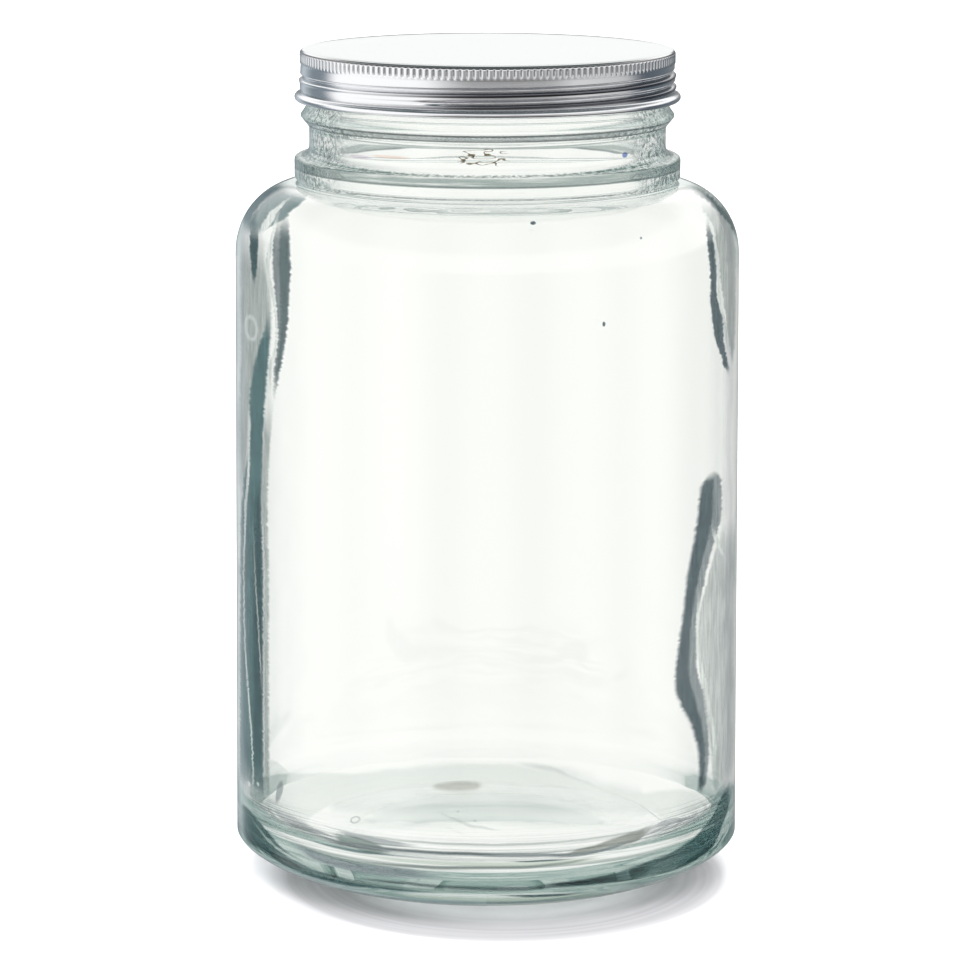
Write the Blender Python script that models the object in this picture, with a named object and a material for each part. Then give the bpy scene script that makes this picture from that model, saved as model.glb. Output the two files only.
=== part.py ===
"""Glass storage jar with a rolled aluminium screw lid.

The jar is one turned piece of thick pressed glass, open at its mouth. The lid
is one thin shell that screws onto the jar's thread. Both are turned about the
Z axis and stand on z = 0. All sizes are in metres.
"""
import math

import bmesh
import bpy

MM = 0.001

# Turning
SEGMENTS = 60                     # sides of every smooth ring
FLUTES = 180                      # grip flutes round the lid
FLUTE_STEPS = 2 * FLUTES          # one crest and one valley for each flute

# Jar, outer wall
FOOT_INNER_R = 51.0 * MM          # flat ring that the jar stands on
FOOT_OUTER_R = 54.0 * MM
PUNT_EDGE_R = 47.5 * MM           # raised underside inside the standing ring
PUNT_EDGE_Z = 2.0 * MM
PUNT_CENTRE_Z = 4.2 * MM
HEEL_Z = 10.6 * MM                # heel curve ends in the body here
HEEL_POWER = 1.45
BODY_BASE_R = 77.3 * MM           # body, slightly wider at the base
BODY_TOP_R = 76.4 * MM
BODY_TOP_Z = 190.0 * MM
SHOULDER_TOP_Z = 211.0 * MM
SHOULDER_INNER_R = 57.2 * MM
BEAD_R = 58.4 * MM                # collar bead at the foot of the neck
BEAD_LOW_Z = 213.4 * MM
BEAD_HIGH_Z = 218.2 * MM
BEAD_CORNER = 1.0 * MM
NECK_R = 53.9 * MM
COVE_TOP_Z = 222.6 * MM           # hollow curve from the bead up to the neck
RING_R = 56.4 * MM                # ring round the neck, just below the lid
RING_LOW_Z = 228.2 * MM
RING_Z = 231.6 * MM
RING_HIGH_Z = 233.9 * MM
RING_HALF_FLAT = 0.3 * MM         # half the height of the ring's blunt edge
RING_SHELF_R = 55.0 * MM
FINISH_R = 53.4 * MM              # glass under the lid
FINISH_LOW_Z = 237.2 * MM
RIM_Z = 250.4 * MM
RIM_CORNER = 1.3 * MM

# Jar, inner wall
BORE_R = 49.2 * MM
BORE_LOW_Z = 213.0 * MM
THROAT_R = 54.4 * MM              # underside of the shoulder starts here
THROAT_Z = 206.6 * MM
HOLLOW_TOP_R = 72.0 * MM
HOLLOW_TOP_Z = 188.5 * MM
HOLLOW_BASE_R = 72.8 * MM
HOLLOW_BASE_Z = 25.0 * MM
FLOOR_R = 56.0 * MM               # the floor's raised middle
FLOOR_EDGE_Z = 10.2 * MM
FLOOR_CENTRE_Z = 12.0 * MM

# Lid
LID_TOP_Z = 251.3 * MM
LID_WALL = 0.6 * MM
LID_R = 56.4 * MM
LID_CORNER = 0.7 * MM
FLUTE_HIGH_Z = 250.5 * MM
FLUTE_LOW_Z = 247.6 * MM
FLUTE_R = 56.65 * MM
FLUTE_DEPTH = 0.3 * MM
FLUTE_RUN_OUT = 0.3 * MM          # height over which the flutes fade below
SKIRT_LOW_Z = 246.4 * MM          # the rolled thread starts below this
CURL_NECK_R = 56.3 * MM
CURL_NECK_Z = 238.5 * MM
CURL_R = 57.2 * MM                # centre of the curled lower edge
CURL_Z = 237.2 * MM
CURL_SECTION = 1.1 * MM
CURL_START = math.radians(60.0)   # the curl runs from here, outside and under
CURL_SWEEP = math.radians(240.0)
CURL_STEPS = 6
SKIRT_FLARE = 0.6 * MM            # the skirt widens by this much downwards
LID_ROWS = 12

# Screw thread, shared by the lid's rolled groove and the glass ridge
PITCH = 3.48 * MM
THREAD_START_ANGLE = math.radians(30.0)
THREAD_START_Z = 245.27 * MM
THREAD_TRAVEL = math.radians(508.0)
THREAD_FADE = math.radians(28.0)
GROOVE_DEPTH = 1.35 * MM
GROOVE_HALF_WIDTH = 1.15 * MM
RIDGE_HEIGHT = 1.5 * MM
RIDGE_HALF_WIDTH = 1.4 * MM
RIDGE_LOW_Z = 240.6 * MM          # the ridge's rows of faces lie between these
RIDGE_HIGH_Z = 248.6 * MM
RIDGE_ROWS = 10

FULL_TURN = 2.0 * math.pi


def clear_scene():
    """Remove every object that the start-up scene holds."""
    for thing in list(bpy.data.objects):
        bpy.data.objects.remove(thing, do_unlink=True)


def blend(start, end, share):
    """Point a share of the way from start to end."""
    return tuple(a + (b - a) * share for a, b in zip(start, end))


def run(start, end, steps):
    """Evenly spaced points from start, left out, to end."""
    return [blend(start, end, (i + 1) / steps) for i in range(steps)]


def quarter(start, end, steps, power=2.0, upright_first=False):
    """Quarter of a superellipse from start, left out, to end.

    It leaves start level and meets end upright, or the other way round.
    """
    points = []
    for i in range(steps):
        turn = 0.5 * math.pi * (i + 1) / steps
        fast = math.sin(turn) ** (2.0 / power)
        slow = 1.0 - max(math.cos(turn), 0.0) ** (2.0 / power)
        across, along = (slow, fast) if upright_first else (fast, slow)
        points.append((start[0] + (end[0] - start[0]) * across,
                       start[1] + (end[1] - start[1]) * along))
    return points


def smooth_step(value):
    """Ease from 0 to 1."""
    value = min(max(value, 0.0), 1.0)
    return value * value * (3.0 - 2.0 * value)


def thread_relief(angle, z, lift, half_width):
    """Share of the thread's full relief at a place on the wall.

    The right-hand helix falls clockwise, as seen from above, and fades out
    at both ends. lift raises it above the centre of the lid's groove.
    """
    relief = 0.0
    travel = (THREAD_START_ANGLE - angle) % FULL_TURN
    while travel <= THREAD_TRAVEL:
        centre = THREAD_START_Z + lift - PITCH * travel / FULL_TURN
        offset = abs(z - centre) / half_width
        if offset < 1.0:
            ends = min(travel, THREAD_TRAVEL - travel) / THREAD_FADE
            crest = math.cos(0.5 * math.pi * offset) ** 2
            relief = max(relief, crest * smooth_step(ends))
        travel += FULL_TURN
    return relief


def glass_radius(angle, r, z):
    """Outer glass wall under the lid, with the thread's ridge."""
    return r + RIDGE_HEIGHT * thread_relief(angle, z, 0.5 * PITCH, RIDGE_HALF_WIDTH)


def lid_radius(angle, r, z):
    """Skirt wall of the lid, with the rolled groove."""
    return r - GROOVE_DEPTH * thread_relief(angle, z, 0.0, GROOVE_HALF_WIDTH)


def flute_radius(angle, r, z):
    """Grip band of the lid: crests and valleys in turn."""
    valley = round(angle * FLUTE_STEPS / FULL_TURN) % 2
    return r - FLUTE_DEPTH * valley


def rows(points, radius=None, steps=SEGMENTS):
    """Turn profile points into rings: (r, z, radius rule, steps)."""
    return [(r, z, radius, steps) for r, z in points]


def jar_rings():
    """Rings of the jar from the underside's middle, out, up and back in."""
    foot = [(PUNT_EDGE_R * share, PUNT_CENTRE_Z - (PUNT_CENTRE_Z - PUNT_EDGE_Z) * share ** 2)
            for share in (0.5, 1.0)]
    foot += quarter((PUNT_EDGE_R, PUNT_EDGE_Z), (FOOT_INNER_R, 0.0), 2, upright_first=True)
    foot.append((FOOT_OUTER_R, 0.0))
    heel = quarter((FOOT_OUTER_R, 0.0), (BODY_BASE_R, HEEL_Z), 7, HEEL_POWER)
    body = run((BODY_BASE_R, HEEL_Z), (BODY_TOP_R, BODY_TOP_Z), 4)
    shoulder = quarter((BODY_TOP_R, BODY_TOP_Z), (SHOULDER_INNER_R, SHOULDER_TOP_Z), 7,
                       upright_first=True)
    under = (SHOULDER_INNER_R, BEAD_LOW_Z - BEAD_CORNER)
    bead = [under]
    bead += quarter(under, (BEAD_R, BEAD_LOW_Z), 2)
    bead.append((BEAD_R, BEAD_HIGH_Z))
    ledge = (BEAD_R - BEAD_CORNER, BEAD_HIGH_Z + BEAD_CORNER)
    bead += quarter((BEAD_R, BEAD_HIGH_Z), ledge, 2, upright_first=True)
    neck = quarter(ledge, (NECK_R, COVE_TOP_Z), 3)
    neck.append((NECK_R, RING_LOW_Z))
    neck += [(RING_R, RING_Z - RING_HALF_FLAT), (RING_R, RING_Z + RING_HALF_FLAT)]
    neck += [(RING_SHELF_R, RING_HIGH_Z), (FINISH_R, FINISH_LOW_Z)]
    top = RIM_Z - RIM_CORNER
    finish = [(FINISH_R, RIDGE_LOW_Z)]
    finish += run((FINISH_R, RIDGE_LOW_Z), (FINISH_R, RIDGE_HIGH_Z), RIDGE_ROWS)
    finish.append((FINISH_R, top))
    rim = quarter((FINISH_R, top), (FINISH_R - RIM_CORNER, RIM_Z), 2, upright_first=True)
    rim.append((BORE_R + RIM_CORNER, RIM_Z))
    rim += quarter((BORE_R + RIM_CORNER, RIM_Z), (BORE_R, top), 2)
    inside = [(BORE_R, BORE_LOW_Z)]
    inside += quarter((BORE_R, BORE_LOW_Z), (THROAT_R, THROAT_Z), 3, upright_first=True)
    inside += quarter((THROAT_R, THROAT_Z), (HOLLOW_TOP_R, HOLLOW_TOP_Z), 6)
    inside += run((HOLLOW_TOP_R, HOLLOW_TOP_Z), (HOLLOW_BASE_R, HOLLOW_BASE_Z), 4)
    inside += quarter((HOLLOW_BASE_R, HOLLOW_BASE_Z), (FLOOR_R, FLOOR_EDGE_Z), 5,
                      upright_first=True)
    floor_rise = FLOOR_CENTRE_Z - FLOOR_EDGE_Z
    inside += [(FLOOR_R * share, FLOOR_EDGE_Z + floor_rise * (1.0 - share ** 2))
               for share in (0.7, 0.35)]
    rings = rows(foot + heel + body + shoulder + bead + neck)
    rings += rows(finish, glass_radius)
    rings += rows(rim + inside)
    return rings


def skirt_points(inset):
    """Skirt wall from the smooth band down to the curl's neck."""
    points = []
    for i in range(LID_ROWS + 1):
        share = i / LID_ROWS
        z = SKIRT_LOW_Z + (CURL_NECK_Z - SKIRT_LOW_Z) * share
        swell = SKIRT_FLARE * share * (1.0 - share ** 6)
        points.append((LID_R + (CURL_NECK_R - LID_R) * share + swell - inset, z))
    return points


def curl_points():
    """Curled lower edge, from the skirt's neck round to the inner wall."""
    points = []
    for i in range(CURL_STEPS + 1):
        turn = CURL_START - CURL_SWEEP * i / CURL_STEPS
        points.append((CURL_R + CURL_SECTION * math.cos(turn),
                       CURL_Z + CURL_SECTION * math.sin(turn)))
    return points


def lid_rings():
    """Rings of the lid from the top's middle, out, down and back up inside."""
    edge = (LID_R, LID_TOP_Z - LID_CORNER)
    top = [(0.5 * LID_R, LID_TOP_Z), (LID_R - LID_CORNER, LID_TOP_Z)]
    top += quarter((LID_R - LID_CORNER, LID_TOP_Z), edge, 2)
    grip = [(FLUTE_R, FLUTE_HIGH_Z), (FLUTE_R, FLUTE_LOW_Z)]
    band = [(LID_R, FLUTE_LOW_Z - FLUTE_RUN_OUT)]
    under_z = LID_TOP_Z - LID_WALL
    inner_corner = LID_R - LID_WALL
    inner_top = [(inner_corner, FLUTE_LOW_Z), (inner_corner, under_z - LID_CORNER),
                 (inner_corner - LID_CORNER, under_z), (0.5 * LID_R, under_z)]
    rings = rows(top)
    rings += rows(grip, flute_radius, FLUTE_STEPS)
    rings += rows(band)
    rings += rows(skirt_points(0.0), lid_radius)
    rings += rows(curl_points())
    rings += rows(reversed(skirt_points(LID_WALL)), lid_radius)
    rings += rows(inner_top)
    return rings


def join_rings(mesh, first, second):
    """Skin the wall between two rings, whose step counts may differ."""
    if len(first) > len(second):
        fine, coarse, flip = first, second, True
    else:
        fine, coarse, flip = second, first, False
    share = len(fine) // len(coarse)
    for j, corner in enumerate(coarse):
        following = coarse[(j + 1) % len(coarse)]
        chain = [fine[(j * share + k) % len(fine)] for k in range(share + 1)]
        middle = share // 2
        faces = []
        if share == 1:
            faces.append((corner, following, chain[1], chain[0]))
        else:
            faces.append((corner, following, chain[middle]))
            for k in range(share):
                tip = corner if k < middle else following
                faces.append((tip, chain[k + 1], chain[k]))
        for face in faces:
            mesh.faces.new(reversed(face) if flip else face)


def cap(mesh, ring, z, flip):
    """Close a ring with a fan to the axis."""
    pole = mesh.verts.new((0.0, 0.0, z))
    for j, corner in enumerate(ring):
        face = (pole, ring[(j + 1) % len(ring)], corner)
        mesh.faces.new(reversed(face) if flip else face)


def turned(name, rings, start_z, end_z, material):
    """Closed turned body: a pole, its rings in order and the last pole."""
    mesh = bmesh.new()
    loops = []
    for r, z, radius, steps in rings:
        loop = []
        for j in range(steps):
            angle = FULL_TURN * j / steps
            reach = radius(angle, r, z) if radius else r
            loop.append(mesh.verts.new((reach * math.cos(angle), reach * math.sin(angle), z)))
        loops.append(loop)
    cap(mesh, loops[0], start_z, False)
    for first, second in zip(loops, loops[1:]):
        join_rings(mesh, first, second)
    cap(mesh, loops[-1], end_z, True)
    bmesh.ops.recalc_face_normals(mesh, faces=mesh.faces)
    bmesh.ops.triangulate(mesh, faces=mesh.faces)
    data = bpy.data.meshes.new(name)
    mesh.to_mesh(data)
    mesh.free()
    data.shade_smooth()
    data.set_sharp_from_angle(angle=math.radians(35.0))
    data.materials.append(material)
    thing = bpy.data.objects.new(name, data)
    bpy.context.scene.collection.objects.link(thing)
    return thing


def finish(name, colour, roughness, metallic, transmission):
    """Principled material in one colour."""
    material = bpy.data.materials.new(name)
    material.use_nodes = True
    shader = material.node_tree.nodes["Principled BSDF"]
    shader.inputs["Base Color"].default_value = (*colour, 1.0)
    shader.inputs["Roughness"].default_value = roughness
    shader.inputs["Metallic"].default_value = metallic
    shader.inputs["Transmission Weight"].default_value = transmission
    return material


def main():
    """Build the jar and its lid."""
    clear_scene()
    glass = finish("clear_glass", (0.86, 0.93, 0.91), 0.02, 0.0, 1.0)
    aluminium = finish("satin_aluminium", (0.80, 0.81, 0.83), 0.32, 1.0, 0.0)
    turned("jar", jar_rings(), PUNT_CENTRE_Z, FLOOR_CENTRE_Z, glass)
    turned("lid", lid_rings(), LID_TOP_Z, LID_TOP_Z - LID_WALL, aluminium)


main()
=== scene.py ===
import math

import bmesh
import bpy
from mathutils import Matrix, Vector


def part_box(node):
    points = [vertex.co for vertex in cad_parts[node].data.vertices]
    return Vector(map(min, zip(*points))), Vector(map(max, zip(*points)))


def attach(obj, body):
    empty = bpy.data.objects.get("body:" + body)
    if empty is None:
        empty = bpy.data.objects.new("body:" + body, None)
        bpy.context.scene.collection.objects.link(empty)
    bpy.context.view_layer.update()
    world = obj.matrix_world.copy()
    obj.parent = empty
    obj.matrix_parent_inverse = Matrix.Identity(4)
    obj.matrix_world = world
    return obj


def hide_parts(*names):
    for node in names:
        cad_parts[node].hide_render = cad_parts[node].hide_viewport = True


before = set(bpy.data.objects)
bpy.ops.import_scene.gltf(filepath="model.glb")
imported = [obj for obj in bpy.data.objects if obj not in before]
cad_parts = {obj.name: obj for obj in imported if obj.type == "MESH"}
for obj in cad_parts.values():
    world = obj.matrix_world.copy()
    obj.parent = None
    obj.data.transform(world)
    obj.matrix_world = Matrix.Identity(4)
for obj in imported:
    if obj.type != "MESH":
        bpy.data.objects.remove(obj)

bl_info = {
    "name": "Glass storage jar",
    "version": (1, 0, 0),
    "blender": (4, 5, 0),
    "location": "3D View > Sidebar > Storage jar",
    "description": "Builds a pressed glass jar with a rolled aluminium lid, and its studio",
    "category": "Object",
}

MM = 0.001
FULL_TURN = 2.0 * math.pi
DEGREES = 180.0 / math.pi
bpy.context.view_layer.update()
_, JAR_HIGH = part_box("jar")
_, LID_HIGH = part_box("lid")
BODY = "root"
LID_FLUTES = 180


# ---- sizes

class JarSizes(bpy.types.PropertyGroup):
    """Sizes of the glass jar."""

    base_radius: bpy.props.FloatProperty(
        name="Base radius", description="Outer radius of the body just above its heel",
        default=JAR_HIGH.x, unit="LENGTH")
    top_radius: bpy.props.FloatProperty(
        name="Top radius", description="Outer radius of the body under its shoulder",
        default=76.4 * MM, unit="LENGTH")
    wall: bpy.props.FloatProperty(
        name="Wall", description="Thickness of the glass in the body",
        default=3.5 * MM, unit="LENGTH")
    floor_height: bpy.props.FloatProperty(
        name="Floor height", description="Height of the inner floor's middle",
        default=12.0 * MM, unit="LENGTH")
    steps: bpy.props.IntProperty(
        name="Steps", description="Sides of every ring of the glass", default=216)


class LidSizes(bpy.types.PropertyGroup):
    """Sizes of the screw lid."""

    radius: bpy.props.FloatProperty(
        name="Radius", description="Outer radius of the lid's smooth band",
        default=56.4 * MM, unit="LENGTH")
    wall: bpy.props.FloatProperty(
        name="Sheet", description="Thickness of the rolled sheet",
        default=0.6 * MM, unit="LENGTH")
    flutes: bpy.props.IntProperty(
        name="Flutes", description="Number of grip flutes round the lid", default=LID_FLUTES)
    flute_depth: bpy.props.FloatProperty(
        name="Flute depth", description="Depth of each grip flute",
        default=0.42 * MM, unit="LENGTH")
    groove_depth: bpy.props.FloatProperty(
        name="Groove depth", description="Depth of the rolled thread groove",
        default=1.2 * MM, unit="LENGTH")


class Finishes(bpy.types.PropertyGroup):
    """Colours and strengths of the materials and the light."""

    glass_depth_colour: bpy.props.FloatVectorProperty(
        name="Glass in depth", description="What light keeps of its colour in thick glass",
        subtype="COLOR", size=3, default=(0.55, 0.655, 0.635), min=0.0, max=1.0)
    glass_density: bpy.props.FloatProperty(
        name="Glass density", description="How fast thick glass takes that colour, per metre",
        default=11.0)
    aluminium: bpy.props.FloatVectorProperty(
        name="Aluminium", description="Colour of the bare metal",
        subtype="COLOR", size=3, default=(0.86, 0.865, 0.88), min=0.0, max=1.0)
    floor: bpy.props.FloatVectorProperty(
        name="Floor", description="Colour of the table",
        subtype="COLOR", size=3, default=(0.93, 0.925, 0.945), min=0.0, max=1.0)
    backdrop: bpy.props.FloatProperty(
        name="Backdrop", description="Brightness of the white backdrop", default=1.05)
    soft_light: bpy.props.FloatProperty(
        name="Soft light", description="Brightness of the light that falls on the table",
        default=2.6)


# ---- node expressions

class Wire:
    """A node's output that arithmetic works on."""

    def __init__(self, net, socket):
        self.net = net
        self.socket = socket

    def math(self, operation, *others):
        """Math node with this output first."""
        return self.net.math(operation, self, *others)

    def siblings(self):
        """All outputs of this wire's node, by name."""
        return {output.name: Wire(self.net, output) for output in self.socket.node.outputs}

    def __add__(self, other):
        return self.net.math("ADD", self, other)

    def __sub__(self, other):
        return self.net.math("SUBTRACT", self, other)

    def __mul__(self, other):
        return self.net.math("MULTIPLY", self, other)

    def __truediv__(self, other):
        return self.net.math("DIVIDE", self, other)

    def __rsub__(self, other):
        return self.net.math("SUBTRACT", other, self)

    def __pow__(self, other):
        return self.net.math("POWER", self, other)

    __radd__ = __add__
    __rmul__ = __mul__


class Net:
    """A node tree being built."""

    def __init__(self, tree):
        self.tree = tree

    def node(self, kind, inputs=None, settings=None, output=0):
        """Add a node, set it up, feed its sockets and give one of its outputs."""
        made = self.tree.nodes.new(kind)
        for key, value in (settings or {}).items():
            if key == "stops":
                ramp = made.color_ramp
                while len(ramp.elements) > 1:
                    ramp.elements.remove(ramp.elements[-1])
                ramp.elements[0].position, ramp.elements[0].color = value[0]
                for position, colour in value[1:]:
                    ramp.elements.new(position).color = colour
            else:
                setattr(made, key, value)
        for key, value in (inputs or {}).items():
            if isinstance(value, Wire):
                self.tree.links.new(value.socket, made.inputs[key])
            else:
                made.inputs[key].default_value = value
        return Wire(self, made.outputs[output]) if made.outputs else None

    def math(self, operation, *values):
        """Math node on wires and numbers."""
        return self.node("ShaderNodeMath", dict(enumerate(values)), {"operation": operation})

    def split(self, vector):
        """X, Y and Z of a vector wire."""
        return self.node("ShaderNodeSeparateXYZ", {0: vector}).siblings().values()

    def smooth(self, value, low, high):
        """Ease from 0 at low to 1 at high."""
        return self.node("ShaderNodeMapRange", {"Value": value, "From Min": low, "From Max": high},
                         {"interpolation_type": "SMOOTHSTEP"})

    def fade(self, value, low, high):
        """Ease from 1 at low to 0 at high."""
        return 1.0 - self.smooth(value, low, high)

    def window(self, value, low, full, waning, high):
        """Ease from 0 at low to 1 at full, and from 1 at waning to 0 at high."""
        return self.smooth(value, low, full) * self.fade(value, waning, high)

    def between(self, value, low, high):
        """1 from low to high, 0 elsewhere."""
        return self.math("GREATER_THAN", value, low) * self.math("LESS_THAN", value, high)

    def hump(self, offset, half_width):
        """Rounded hump, 1 where offset is 0 and flat beyond the half width."""
        share = (offset.math("ABSOLUTE") / half_width).math("MINIMUM", 1.0)
        return (share * (0.5 * math.pi)).math("COSINE") ** 2.0

    def track(self, along, points):
        """Red, green and blue of a smooth curve through (place along, three values)."""
        ramp = self.node("ShaderNodeValToRGB", {"Fac": along}, {"stops": points})
        ramp.socket.node.color_ramp.interpolation = "CARDINAL"
        return self.node("ShaderNodeSeparateColor", {0: ramp}).siblings().values()

    def mix(self, share, first, second, blend="MIX"):
        """Colour between first and second."""
        return self.node("ShaderNodeMix", {"Factor": share, 6: first, 7: second},
                         {"data_type": "RGBA", "blend_type": blend}, output=2)

    def hypot(self, first, second):
        """Length of the diagonal over two sides."""
        return (first * first + second * second).math("SQRT")

    def point(self, **parts):
        """Vector from its X, Y and Z."""
        return self.node("ShaderNodeCombineXYZ", parts)

    def noise(self, vector, scale, detail, **settings):
        """Noise at a place."""
        return self.node("ShaderNodeTexNoise",
                         {"Vector": vector, "Scale": scale, "Detail": detail, **settings})

    def bump(self, strength, distance, height):
        """Normal of a surface raised by a height."""
        return self.node("ShaderNodeBump",
                         {"Strength": strength, "Distance": distance, "Height": height})

    def ray(self, output):
        """What the light path says of the ray."""
        return self.node("ShaderNodeLightPath", output=output)

    def cover(self, share, shader, other):
        """Shader that gives way to another by a share."""
        return self.node("ShaderNodeMixShader", {0: share, 1: shader, 2: other})


def new_material(name):
    """Empty node material and its net."""
    material = bpy.data.materials.new(name)
    material.use_nodes = True
    material.node_tree.nodes.clear()
    return material, Net(material.node_tree)


def opaque(colour, share=1.0):
    """Opaque colour whose parts are scaled by a share."""
    return (*[part * share for part in colour], 1.0)


def grey(value):
    """Opaque grey."""
    return opaque([value] * 3)


# ---- turned shapes

class Outline(list):
    """Points (r, z), drawn stretch by stretch from the last one."""

    def line(self, end, steps):
        """Go straight to end."""
        r, z = self[-1]
        for i in range(1, steps + 1):
            share = i / steps
            self.append((r + (end[0] - r) * share, z + (end[1] - z) * share))

    def curve(self, end, steps, power=2.0, upright=False):
        """Go to end on a quarter of a superellipse."""
        r, z = self[-1]
        for i in range(1, steps + 1):
            turn = 0.5 * math.pi * i / steps
            fast = math.sin(turn) ** (2.0 / power)
            slow = 1.0 - max(math.cos(turn), 0.0) ** (2.0 / power)
            across, along = (slow, fast) if upright else (fast, slow)
            self.append((r + (end[0] - r) * across, z + (end[1] - z) * along))

    def bend(self, start_handle, end_handle, end, steps):
        """Go to end on a cubic curve, by way of its two handles."""
        corners = (self[-1], start_handle, end_handle, end)
        for i in range(1, steps + 1):
            share = i / steps
            rest = 1.0 - share
            weights = (rest ** 3, 3 * rest * rest * share, 3 * rest * share * share, share ** 3)
            self.append(tuple(sum(w * corner[k] for w, corner in zip(weights, corners))
                              for k in range(2)))


def join_rings(mesh, first, second):
    """Skin the wall between two rings, one of which may be a whole multiple finer."""
    fine, coarse, flip = second, first, False
    if len(first) > len(second):
        fine, coarse, flip = first, second, True
    share = len(fine) // len(coarse)
    middle = share // 2
    for j, corner in enumerate(coarse):
        following = coarse[(j + 1) % len(coarse)]
        chain = [fine[(j * share + k) % len(fine)] for k in range(share + 1)]
        faces = [(corner, following, chain[1], chain[0])]
        if share > 1:
            faces = [(corner, following, chain[middle])]
            for k in range(share):
                faces.append((corner if k < middle else following, chain[k + 1], chain[k]))
        for face in faces:
            mesh.faces.new(reversed(face) if flip else face)


def cap(mesh, ring, z, flip):
    """Close a ring with a fan to the axis."""
    pole = mesh.verts.new((0.0, 0.0, z))
    for j, corner in enumerate(ring):
        face = (pole, ring[(j + 1) % len(ring)], corner)
        mesh.faces.new(reversed(face) if flip else face)


def turned(name, rings, start_z, end_z, extra=None):
    """Closed turned piece from rings of (r, z, rule, steps)."""
    mesh = bmesh.new()
    loops = []
    for r, z, rule, steps in rings:
        loop = []
        for j in range(steps):
            angle = FULL_TURN * j / steps
            reach, rise = rule(angle, r, z) if rule else (r, z)
            loop.append(mesh.verts.new((reach * math.cos(angle), reach * math.sin(angle), rise)))
        loops.append(loop)
    cap(mesh, loops[0], start_z, False)
    for first, second in zip(loops, loops[1:]):
        join_rings(mesh, first, second)
    cap(mesh, loops[-1], end_z, True)
    bmesh.ops.recalc_face_normals(mesh, faces=mesh.faces)
    if extra:
        extra(mesh)
    data = bpy.data.meshes.new(name)
    mesh.to_mesh(data)
    mesh.free()
    data.shade_smooth()
    piece = bpy.data.objects.new(name, data)
    bpy.context.scene.collection.objects.link(piece)
    return piece


# ---- glass jar

FOOT_INNER_R = 51.0 * MM
FOOT_OUTER_R = 54.0 * MM
PUNT_CENTRE_Z = 3.4 * MM
PUNT_STEPS = 20
HEEL_Z = 10.6 * MM
HEEL_POWER = 1.45
BODY_TOP_Z = 190.0 * MM
SHOULDER_TOP_Z = 211.0 * MM
SHOULDER_INNER_R = 57.2 * MM
BEAD_R = 58.4 * MM
BEAD_LOW_Z = 213.4 * MM
BEAD_HIGH_Z = 218.2 * MM
BEAD_CORNER = 1.0 * MM
NECK_R = 53.9 * MM
COVE_TOP_Z = 222.6 * MM
RING_R = 56.4 * MM
RING_LOW_Z = 228.2 * MM
RING_Z = 231.6 * MM
RING_HIGH_Z = 233.9 * MM
RING_HALF_FLAT = 0.3 * MM
RING_SHELF_R = 55.0 * MM
FINISH_R = 53.4 * MM
FINISH_LOW_Z = 237.2 * MM
RIM_CORNER = 1.3 * MM
RING_LINING = 1.8 * MM
RING_LINING_Z = 232.0 * MM
RING_LINING_HALF = 5.0 * MM
BORE_R = 49.2 * MM
BORE_LOW_Z = 212.4 * MM
FLARE_HANDLE = 5.0 * MM
FLARE_END_HANDLE = 7.6 * MM
FLARE_MEETS = math.radians(74.0)
SHOULDER_WALL = 2.6 * MM
LINING_STEPS = 26
HOLLOW_BASE_Z = 25.0 * MM
FLOOR_R = 56.0 * MM
FLOOR_EDGE_Z = 10.2 * MM
FLOOR_STEPS = 30

PITCH = 3.48 * MM
THREAD_START_ANGLE = math.radians(30.0)
THREAD_START_Z = 245.27 * MM
THREAD_TRAVEL = math.radians(508.0)
THREAD_FADE = math.radians(28.0)
GROOVE_HALF_WIDTH = 1.0 * MM
BULGE = 0.3 * MM
BULGE_DROP = 1.2 * MM
BULGE_HALF_WIDTH = 0.9 * MM
RIDGE_HEIGHT = 1.5 * MM
RIDGE_HALF_WIDTH = 1.4 * MM


def smooth_step(value):
    """Ease from 0 to 1."""
    value = min(max(value, 0.0), 1.0)
    return value * value * (3.0 - 2.0 * value)


def hump(offset, half_width):
    """Rounded hump, 1 where offset is 0 and flat beyond the half width."""
    return math.cos(0.5 * math.pi * min(abs(offset) / half_width, 1.0)) ** 2


def glass_thread(angle, r, z):
    """Outer wall under the lid, with the thread's ridge half a pitch over the groove."""
    relief = 0.0
    travel = (THREAD_START_ANGLE - angle) % FULL_TURN
    while travel <= THREAD_TRAVEL:
        offset = z - (THREAD_START_Z + 0.5 * PITCH - PITCH * travel / FULL_TURN)
        ends = min(travel, THREAD_TRAVEL - travel) / THREAD_FADE
        relief = max(relief, hump(offset, RIDGE_HALF_WIDTH) * smooth_step(ends))
        travel += FULL_TURN
    return r + RIDGE_HEIGHT * relief, z


def shoulder_lining(sizes, turn):
    """Point of the shoulder's inner wall, by the turn round its outer curve."""
    across = sizes.top_radius - SHOULDER_INNER_R
    rise = SHOULDER_TOP_Z - BODY_TOP_Z
    slope = Vector((math.cos(turn) / across, math.sin(turn) / rise)).normalized()
    wall = sizes.wall + (SHOULDER_WALL - sizes.wall) * turn / (0.5 * math.pi)
    return (SHOULDER_INNER_R + across * math.cos(turn) - wall * slope.x,
            BODY_TOP_Z + rise * math.sin(turn) - wall * slope.y)


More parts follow.
